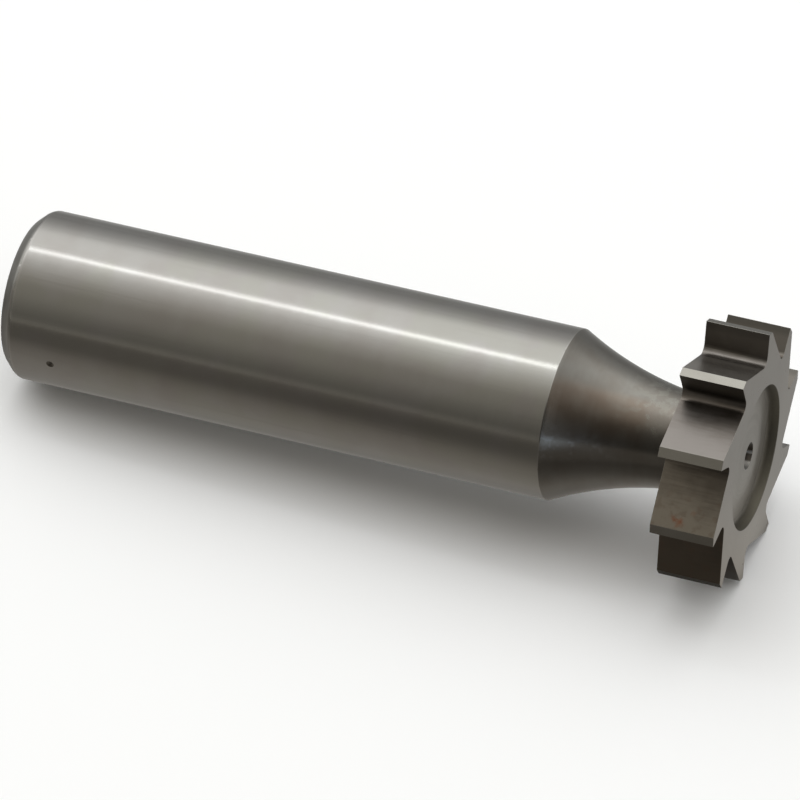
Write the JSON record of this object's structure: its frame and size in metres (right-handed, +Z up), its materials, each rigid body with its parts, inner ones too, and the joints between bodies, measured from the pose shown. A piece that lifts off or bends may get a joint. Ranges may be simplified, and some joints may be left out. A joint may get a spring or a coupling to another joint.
{
  "type": "woodruff keyseat cutter",
  "caption": "Shank-type milling cutter: a thin disc of straight relieved teeth on a hollow-ground neck and a plain round shank, for cutting half-moon key slots in shafts.",
  "frame": {"origin": "under the middle of the cutter's box, on the surface that it lies on", "axes": "+Z up; +X along the cutter from the shank's back end towards the toothed head, which stands higher, so the cutter's own axis rises from +X by 3.38 degrees; +Y across it"},
  "size_m": [0.0572, 0.0194, 0.0189],
  "materials": {
    "tool_steel": "ground high-speed steel: bright ground shank with fine round-the-axis grain, darker brownish neck, grey ground head with dark tooth faces and one small rust spot"
  },
  "bodies": {
    "root": {"keyseat_cutter": "tool_steel"}
  },
  "joints": []
}
